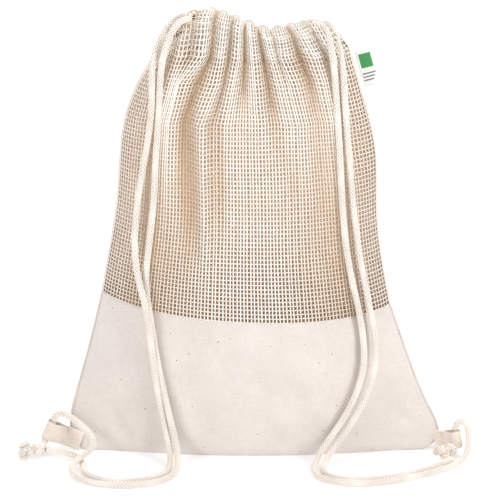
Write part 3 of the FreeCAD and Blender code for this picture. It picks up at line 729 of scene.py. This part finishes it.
# ---- Net ----

NET_WANDER = 0.16 * MM   # how far an upright yarn strays sideways
NET_LIFT = 0.28 * MM     # of the upright yarns, off the grid
NET_SINK = 0.25 * MM     # of the level yarns
NET_WEAVE = 0.22 * MM    # how far a level yarn goes over and under
HOLLOW_REACH = 11        # columns to each side in which a ridge gives painted shade to the cloth behind it


def hollows_of(grid):
    """How far each point lies behind the ridges beside it, as a share, used as painted shade; less near the
    side seams.
    """
    out = -grid[..., 1]
    columns = out.shape[1]
    wide = np.pad(out, ((0, 0), (HOLLOW_REACH, HOLLOW_REACH)), mode="edge")
    peak = np.max([wide[:, k:k + columns] for k in range(2 * HOLLOW_REACH + 1)], 0)
    inside = np.minimum(np.arange(columns), np.arange(columns)[::-1]) / columns
    return np.clip((peak - out - 1 * MM) / (9 * MM), 0, 1) * (0.15 + 0.85 * ease(inside, 0.05, 0.2))


def net(grid, name):
    """Yarns along the rows and columns of a grid that has two points to each mesh."""
    normals = outward_of(grid)
    bundle = Bundle()
    # painted shade behind the ridges, carried by the 'hollow' attribute
    shade = hollows_of(grid)
    rng = np.random.default_rng(3)
    wander = rng.normal(0, NET_WANDER, grid.shape[1])[None, :, None] * unit(np.gradient(grid, axis=1))
    upright = grid + wander + normals * NET_LIFT
    bundle.add(*tubes(upright[:, ::2].transpose(1, 0, 2), normals[:, ::2].transpose(1, 0, 2), YARN_WIDE,
                      YARN_THICK), shade=np.repeat(shade[:, ::2].T.ravel(), 4))
    weave = np.cos(np.arange(grid.shape[1]) * math.pi / 2) * NET_WEAVE
    flip = (-1.0) ** np.arange(len(grid[::2]))
    level = grid[::2] + normals[::2] * (weave[None, :, None] * flip[:, None, None] - NET_SINK)
    bundle.add(*tubes(level, normals[::2], YARN_WIDE * 0.92, YARN_THICK),
               shade=np.repeat(shade[::2].ravel(), 4))
    return bundle.make(name, NET)


points_across = 2 * WARPS - 1
net_levels = stations(NET_LEVELS, MESH_HIGH / 2)
net_grid = np.array([wall_row(level, -1, points_across, folds(NET_FOLDS)) for level in net_levels])
hem_grid = channel_rows(-1, points_across, MESH_HIGH / 2)
net_panel = net(net_grid, "front_net")
net_hem = net(hem_grid, "front_hem_net")
for piece, node in ((net_panel, "front_net_panel"), (net_hem, "front_channel")):
    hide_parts(node)
    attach(piece, "sack")

# ---- Canvas ----


def cloth(grid, name, material, thickness=CLOTH, painted_shade_inside=None):
    """A sheet along a grid, thickened inwards; its UV is the flat cloth in metres. A second material, if
    given, goes on the inner faces: painted shade for the inside of the sack.
    """
    rows, columns = grid.shape[:2]
    width = runs_along(grid[rows // 3])[-1]
    u, v = np.meshgrid(np.linspace(0, width, columns), runs_along(grid[:, columns // 2]))
    made = mesh_object(name, grid, grid_faces(rows, columns), material, np.stack([u, v], -1))
    solid = made.modifiers.new("thickness", "SOLIDIFY")
    solid.thickness = thickness
    solid.offset = -1
    if painted_shade_inside:
        made.data.materials.append(painted_shade_inside)
        solid.material_offset = 1
    return made


def base_rows(row, side):
    """Rows of the flat base, from the seam under the sack to the foot of the wall."""
    u = np.linspace(-1, 1, len(row))
    seam = row.copy()
    seam[:, 1] = CANVAS_LEVELS[0][7] * MM * np.abs(u) ** 6 + side * 0.9 * MM
    shares = np.linspace(0, 1, BASE_ROWS, endpoint=False)[:, None, None]
    return seam * (1 - shares) + row * shares


def band_level(share):
    """A level between the canvas's top row and the net's first, by its share of the way up."""
    low, high = np.array(CANVAS_LEVELS[-1]) * MM, np.array(NET_LEVELS[0]) * MM
    return low + (high - low) * share


def canvas_front():
    """The front cloth from the base seam to just under the net."""
    levels = [*stations(CANVAS_LEVELS, CANVAS_STEP), *(band_level(share) for share in (0.33, 0.66, 0.97))]
    rows = [wall_row(level, -1, WALL_COLUMNS[-1], folds(FRONT_FOLDS)) for level in levels]
    grid = np.concatenate([base_rows(rows[0], -1), rows])
    made = cloth(grid, "front_canvas", CANVAS)
    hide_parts("front_canvas_panel", "bottom_seam")
    return made


def seam_band():
    """The folded edge of the canvas over the net's foot, and its row of stitches."""
    rows = []
    for share, out in ((0.5, -0.35), (0.8, -0.2), (0.94, 0.1), (1.02, 0.15), (1.06, -0.1), (1.03, -0.5),
                       (0.9, -0.9)):
        row = wall_row(band_level(share), -1, WALL_COLUMNS[-1])
        row[:, 1] -= out * MM
        rows.append(row)
    made = cloth(np.array(rows), "seam_band", CANVAS, 0.5 * MM)
    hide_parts("panel_seam_band")
    stitches = Bundle()
    row = wall_row(band_level(0.75), -1, SEAM_COLUMNS)
    row[:, 1] -= 0.1 * MM
    dashes(stitches, row, 3.2 * MM, 2.3 * MM, 0.35 * MM)
    return made, stitches.make("seam_band_stitches", THREAD)


def dashes(bundle, line, step, length, wide, out=(0, -1, 0)):
    """Short stitches along a line, each dipping into the cloth at its ends."""
    runs = runs_along(line)
    starts = np.arange(step / 2, runs[-1] - length, step)
    shares = np.linspace(0, 1, 5)
    points = read_at(line, runs, (starts[:, None] + shares[None] * length).ravel())
    points = points.reshape(len(starts), len(shares), 3)
    dip = (np.sin(math.pi * shares) - 0.5)[None, :, None] * 0.35 * MM
    bundle.add(*tubes(points + np.array(out) * dip, out, wide, wide))


def canvas_back():
    """The back cloth from the base seam to the channel's foot, and its channel."""
    levels = [*stations(CANVAS_LEVELS, CANVAS_STEP), *stations(NET_LEVELS, BACK_STEP)]
    rows = [wall_row(level, 1, WALL_COLUMNS[1], folds(BACK_FOLDS)) for level in levels]
    wall = np.concatenate([base_rows(rows[0], 1), rows])[:, ::-1]
    panel = cloth(wall, "back_canvas", BACK_CANVAS, painted_shade_inside=SHADED)
    channel = channel_rows(1, WALL_COLUMNS[1], 2.4 * MM)[:, ::-1]
    hem = cloth(channel, "back_hem", BACK_CANVAS, 0.8 * MM)
    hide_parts("back_panel")
    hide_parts("back_channel")
    return panel, hem


def hem_stitches(side, name, node):
    """The row of stitches along a channel's foot."""
    bundle = Bundle()
    row = channel_row(side, len(ACROSS), 0.08, 0)
    row[:, 1] += side * 0.9 * MM
    dashes(bundle, row[20:-20], 3.4 * MM, 2.4 * MM, 0.3 * MM, (0, side, 0))
    made = bundle.make(name, THREAD)
    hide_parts(node)
    return made


def side_seam(which):
    """The overlocked seam allowance along one side, built as a flat rib."""
    k = 0 if which < 0 else 1
    line = []
    for levels in (CANVAS_LEVELS, NET_LEVELS):
        fine = stations(levels, CANVAS_STEP)
        line += [(level[3 + k] + which * 0.5 * MM, level[7], level[k]) for level in fine]
    line = resampled(line[2:], 2.2 * MM)
    rng = np.random.default_rng(11 + k)
    line[:, 1] += np.convolve(rng.normal(0, 1.1 * MM, len(line)), np.ones(9) / 9, "same")
    bundle = Bundle()
    bundle.add(*tubes(line[None], (0, 1, 0), 2.6 * MM, 1.5 * MM, 8))
    made = bundle.make("side_seam_" + ("left" if which < 0 else "right") + "_rib", CANVAS)
    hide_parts("side_seam_left" if which < 0 else "side_seam_right")
    return made


def bar_tack(which):
    """Close zigzag stitches that join the channels above one side seam."""
    level = NET_LEVELS[-1]
    x = (level[3] + 6.5 if which < 0 else level[4] - 6.5) * MM
    deep, half = 5.6 * MM, 3.4 * MM
    bundle = Bundle()
    zigzag = np.array([(x + (half if k % 2 else -half), 0, CHANNEL_FOOT + (1 + 0.19 * k) * MM)
                       for k in range(26)])
    for y in (-deep, deep):
        line = resampled(zigzag + (0, y, 0), 1.6 * MM)
        bundle.add(*tubes(line[None], (0, 1, 0), 0.6 * MM, 0.6 * MM))
    for k in range(6):
        height = CHANNEL_FOOT + (1.2 + 0.8 * k) * MM
        line = [(x, y, height) for y in np.linspace(-deep, deep, 9)]
        bundle.add(*tubes([line], (1, 0, 0), 6.4 * MM, 0.9 * MM, 6))
    name = "left" if which < 0 else "right"
    made = bundle.make("bar_tack_" + name, THREAD)
    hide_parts("channel_tack_" + name)
    return made


sack_cloth = [canvas_front(), *seam_band(), *canvas_back()]
sack_cloth += [hem_stitches(-1, "front_hem_stitches", "front_channel_stitching"),
               hem_stitches(1, "back_hem_stitches", "back_channel_stitching")]
sack_cloth += [side_seam(-1), side_seam(1), bar_tack(-1), bar_tack(1)]
for piece in sack_cloth:
    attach(piece, "sack")

# ---- Corner tabs ----


def tab_frame(tab):
    """The tab's axes: along its reach, across its thickness (towards the front) and up its hole."""
    yaw, tilt = math.radians(tab["yaw"]), math.radians(tab["tilt"])
    along = Vector((math.cos(yaw) * math.cos(tilt), math.sin(yaw) * math.cos(tilt), math.sin(tilt)))
    up = (Vector((0, 0, 1)) - along * along.z).normalized()
    front = along.cross(up)
    return along, front if front.y < 0 else -front, up


def hole_point(tab, height):
    """A point on the axis of the tab's hole, that far above its middle."""
    along, _, up = tab_frame(tab)
    reach = tab["reach"] - TAB_HOLE - TAB_THICK
    return tuple(Vector(tab["root"]) + along * reach + up * height)


def tab_loop(side):
    """A strip of canvas folded into a loop round the cord, its two ends sewn flat into the corner."""
    tab = TABS[side]
    along, front, up = (np.array(v) for v in tab_frame(tab))
    centre = tab["reach"] - TAB_HOLE - TAB_THICK
    radius = TAB_HOLE + TAB_THICK / 2
    flat = TAB_THICK * 0.52
    sewn_in = 4 * MM
    leg = []
    for share in np.linspace(0, 1, 16):
        reach = -sewn_in + (centre + sewn_in) * share
        bulge = ease(reach, tab["plain"] - 3 * MM, centre)
        leg.append((reach, flat + (radius - flat) * bulge))
    bend = [(centre + radius * math.sin(a), radius * math.cos(a))
            for a in np.linspace(0.15, math.pi - 0.15, 15)]
    outline = np.array(leg + bend + [(reach, -away) for reach, away in leg[::-1]])
    tangent = unit(np.gradient(outline, axis=0))
    normal = np.stack([-tangent[:, 1], tangent[:, 0]], 1)
    half = tab["width"] / 2
    thick = TAB_THICK * 0.47
    corner = 0.45 * MM
    section = []
    for v in np.linspace(-1, 1, 15):
        section.append((v * (half - corner * 0.3),
                        thick * min(1.0, 1.25 * (1 - abs(v) ** 14) ** 0.5 + 0.2)))
    section += [(v, -t) for v, t in section[::-1]]
    high, out = np.array(section).T
    k = np.arange(len(outline))[:, None]
    reach, away = (outline[:, n, None] + normal[:, n, None] * out for n in (0, 1))
    away = away + 0.5 * MM * np.cos(high / half * 2.6) * np.sin(k * 0.28)
    lift = high * (1 + 0.03 * np.sin(k * 0.35)) + 0.15 * MM * np.sin(k * 0.55)
    rings = tab["root"] + along * reach[..., None] + front * away[..., None] + up * lift[..., None]
    rows, columns = rings.shape[:2]
    u, v = np.meshgrid(np.linspace(0, 2 * tab["width"], columns), runs_along(outline))
    faces = grid_faces(rows, columns, closed=True)
    made = mesh_object("tab_strip_" + side, rings, faces, TAB_CANVAS, np.stack([u, v], -1))
    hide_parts("tab_" + side)
    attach(made, side + "_tab")
    stitches = Bundle()
    for reach in (tab["plain"] - 5.5 * MM, tab["plain"] - 3.6 * MM):
        line = np.array([np.array(tab["root"]) + along * reach + front * (TAB_THICK * 1.05 + 0.35 * MM)
                         + up * high for high in np.linspace(-half + 1 * MM, half - 1 * MM, 40)])
        dashes(stitches, line, 2.9 * MM, 2.1 * MM, 0.5 * MM, tuple(front))
    sewn = stitches.make("tab_stitches_" + side, THREAD)
    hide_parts("tab_tack_" + side)
    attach(sewn, side + "_tab")


tab_loop("left")
tab_loop("right")

# ---- Cords, knots and ends ----


def overhand(centre, turn, size, lean):
    """The path of a pulled-tight overhand knot round a centre."""
    t = np.linspace(0, 2 * math.pi, 90)
    spin = np.array([[math.cos(turn), -math.sin(turn), 0], [math.sin(turn), math.cos(turn), 0], [0, 0, 1]])
    tip = np.array([[1, 0, 0], [0, math.cos(lean), -math.sin(lean)], [0, math.sin(lean), math.cos(lean)]])
    loop = np.stack([(1.9 + np.cos(3 * t)) * np.cos(2 * t), (1.9 + np.cos(3 * t)) * np.sin(2 * t),
                     1.15 * np.sin(3 * t)], 1)
    return loop * size / 2.9 @ tip.T @ spin.T + np.array(centre)


def knot(side, turn, lean, node, others=()):
    """A cord's knot below its corner loop, and other short stretches of cord beside it."""
    bundle = Bundle()
    braid(overhand(TABS[side]["knot"], turn, 5.0 * MM, lean), 6.2 * MM, bundle)
    for extra in others:
        braid(smooth_line(extra), 6.4 * MM, bundle)
    made = bundle.make("knot_wound_" + side, BRAID, BRAID_INSIDE_SHADE)
    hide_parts(node)
    return made


def frayed(name, start, end, narrow, wide, strands, node, seed, thick=0.42 * MM):
    """Loose yarn ends that spread out of a cut cord."""
    rng = np.random.default_rng(seed)
    start, end = np.array(start), np.array(end)
    way = end - start
    side = unit(np.cross(way, (0, 0, 1.0)))
    top = unit(np.cross(side, way))
    shares = np.linspace(0, 1, 9)
    paths = []
    for _ in range(strands):
        angle, far = rng.uniform(0, 2 * math.pi), math.sqrt(rng.uniform(0, 1))
        spread = side * math.cos(angle) + top * math.sin(angle)
        reach = rng.uniform(0.4, 1.0)
        curl = rng.normal(0, 1, 3) * 1.5 * MM
        path = [start + way * s * reach * (1 - 0.12 * s * far)
                + spread * far * (narrow + (wide - narrow) * math.sin(s * math.pi / 2) ** 1.2)
                + curl * math.sin(s * 4.0 + angle) * s for s in shares]
        paths.append(path)
    paths = np.array(paths)
    paths[..., 2] = np.maximum(paths[..., 2], 1.0 * MM)
    outward = unit(np.cross(np.gradient(paths, axis=1), (0.2, 0.9, 0.4)))
    bundle = Bundle()
    bundle.add(*tubes(paths, outward, thick, thick))
    made = bundle.make(name, FRAYED)
    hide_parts(node)
    return made


left_knot = knot("left", 0.3, 0.5, "knot_left")
left_tuft = frayed("frayed_end_left", (-0.2235, -0.0402, 0.0086), (-0.2395, -0.0462, 0.0100), 2.6 * MM,
                   8.6 * MM, 330, "tuft_left", 5, 0.55 * MM)
right_knot = knot("right", 0.1, 1.1, "knot_right", [
    [(0.2035, -0.047, 0.006), (0.207, -0.049, 0.010), (0.2055, -0.047, 0.0145), (0.200, -0.0445, 0.0155)]])
right_end = frayed("cut_end_right", (0.1915, -0.0470, 0.0098), (0.1855, -0.0535, 0.0140), 3.0 * MM,
                   3.9 * MM, 190, "cord_cut_end_right", 9, 0.6 * MM)
for piece, body in ((left_knot, "left_tab"), (left_tuft, "left_tab"), (right_knot, "right_tab"),
                    (right_end, "right_tab")):
    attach(piece, body)


def cord(name, route, node, body=None, blend=None):
    """One braided stretch of a drawcord along its route."""
    line = smooth_line(route)
    made = braid(line).make(name, BRAID, BRAID_INSIDE_SHADE)
    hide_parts(node)
    if blend:
        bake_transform(made)
    else:
        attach(made, body)
    return made


def through_tab(side):
    """The route of a cord's end: in at the top of the corner loop, down to the knot and on to its end."""
    tab = TABS[side]
    return [hole_point(tab, tab["width"] / 2 + 0.3 * MM), hole_point(tab, -tab["turn"]), tab["knot"],
            tab["tail"]]


def above_tab(side):
    """Where a cord's free stretch ends, just above the corner loop's hole."""
    return hole_point(TABS[side], TABS[side]["width"] / 2 + 0.9 * MM)


cord("left_bight_braid", LEFT_BIGHT, "drawcord_left_bight", "sack")
cord("right_bight_braid", RIGHT_BIGHT, "drawcord_right_bight", "sack")
cord("left_outer_braid", LEFT_OUTER, "cord_left_outer", blend=(
    "left_tab", (-0.176, -0.050, 0.005), (-0.206, -0.039, 0.005)))
cord("left_inner_braid", LEFT_INNER + [above_tab("left")], "cord_left_inner", blend=(
    "left_tab", (-0.165, -0.040, 0.03), (-0.196, -0.025, 0.03)))
cord("right_inner_braid", RIGHT_INNER + [above_tab("right")], "cord_right_inner", blend=(
    "right_tab", (0.196, -0.062, 0.03), (0.216, -0.042, 0.03)))
cord("right_outer_braid", RIGHT_OUTER, "cord_right_outer", blend=(
    "right_tab", (0.180, -0.074, 0.005), (0.202, -0.058, 0.005)))
cord("left_tab_braid", through_tab("left"), "cord_left_tab_end", "left_tab")
cord("right_tab_braid", through_tab("right"), "cord_right_tab_end", "right_tab")

# ---- Label ----


def label():
    """A folded woven label: two layers with a soft fold at the free edge."""
    down = (LABEL_FOOT - LABEL_TOP).normalized()
    out = Vector((-down.z, 0, down.x))
    length = (LABEL_FOOT - LABEL_TOP).length
    rows, columns = 25, 13
    v, u = np.mgrid[0:1:rows * 1j, 0:1:columns * 1j][..., None]
    curl = 0.5 * MM * np.sin(v * 3.0 + 0.4) * u + 0.25 * MM * np.sin(u * 3.1)
    points = (np.array(LABEL_TOP) + np.array(out) * (0.3 * MM + LABEL_WIDTH * u)
              + np.array(down) * (length * v) - (0, 1, 0) * curl)
    made = mesh_object("side_label", points, grid_faces(rows, columns), LABEL, np.concatenate([u, v], -1))
    solid = made.modifiers.new("layers", "SOLIDIFY")
    solid.thickness = 0.55 * MM
    solid.offset = 0
    soft = made.modifiers.new("fold", "BEVEL")
    soft.width = 0.2 * MM
    soft.segments = 2
    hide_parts("label")
    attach(made, "label")
    return made


label()

# ---- Floor, light and camera ----


def stage_floor():
    """A white floor with an even glow; its colour is painted a little greyer under the sack than far from
    it, painted shade that deepens the sack's shadows there.
    """
    half = 12.0
    corners = [(-half, -half, 0), (half, -half, 0), (half, half, 0), (-half, half, 0)]
    s = Shader("pale_floor", roughness=0.6, sheen=0.0)
    far = s.node("ShaderNodeVectorMath", operation="LENGTH")
    s.link(s.where(), far.inputs[0])
    distance = s.math("MULTIPLY", far.outputs["Value"], 0.3)
    # grey near the middle, white far out: painted shade under the sack
    colour = s.ramp(distance, [(0.08, (0.69, 0.69, 0.70)), (0.45, (0.95, 0.95, 0.95))])
    s.surface.inputs["Emission Color"].default_value = (1, 1, 1, 1)
    s.surface.inputs["Emission Strength"].default_value = 0.38
    floor = mesh_object("floor", corners, [(0, 1, 2, 3)], s.finish(colour))


def softbox(name, place, target, size, power):
    """A rectangular light at a place, turned to its target."""
    light = bpy.data.lights.new(name, "AREA")
    light.shape = "RECTANGLE"
    light.size, light.size_y = size
    light.energy = power
    holder = bpy.data.objects.new(name, light)
    holder.location = place
    holder.rotation_euler = (Vector(target) - Vector(place)).to_track_quat("-Z", "Y").to_euler()
    bpy.context.scene.collection.objects.link(holder)


stage_floor()
MIDDLE = (0, 0, 0.22)
softbox("softbox_right", (1.7, -1.5, 1.3), MIDDLE, (0.9, 1.6), 36)
softbox("softbox_left", (-1.8, -1.4, 1.1), MIDDLE, (0.9, 1.6), 24)
softbox("softbox_top", (0.1, 0.5, 2.6), MIDDLE, (3.0, 3.0), 52)

world = bpy.data.worlds.new("studio")
world.use_nodes = True
world.node_tree.nodes["Background"].inputs["Color"].default_value = (1, 1, 1, 1)
world.node_tree.nodes["Background"].inputs["Strength"].default_value = 0.29
bpy.context.scene.world = world
bpy.context.scene.view_settings.view_transform = "Standard"

lens = bpy.data.cameras.new("camera")
lens.lens = 165.6
lens.clip_end = 50
camera = bpy.data.objects.new("camera", lens)
camera.location = (-0.002, -2.16999, 1.00556)
aim = Vector((-0.002, -0.0087, 0.218915)) - camera.location
camera.rotation_euler = aim.to_track_quat("-Z", "Y").to_euler()
bpy.context.scene.collection.objects.link(camera)
bpy.context.scene.camera = camera
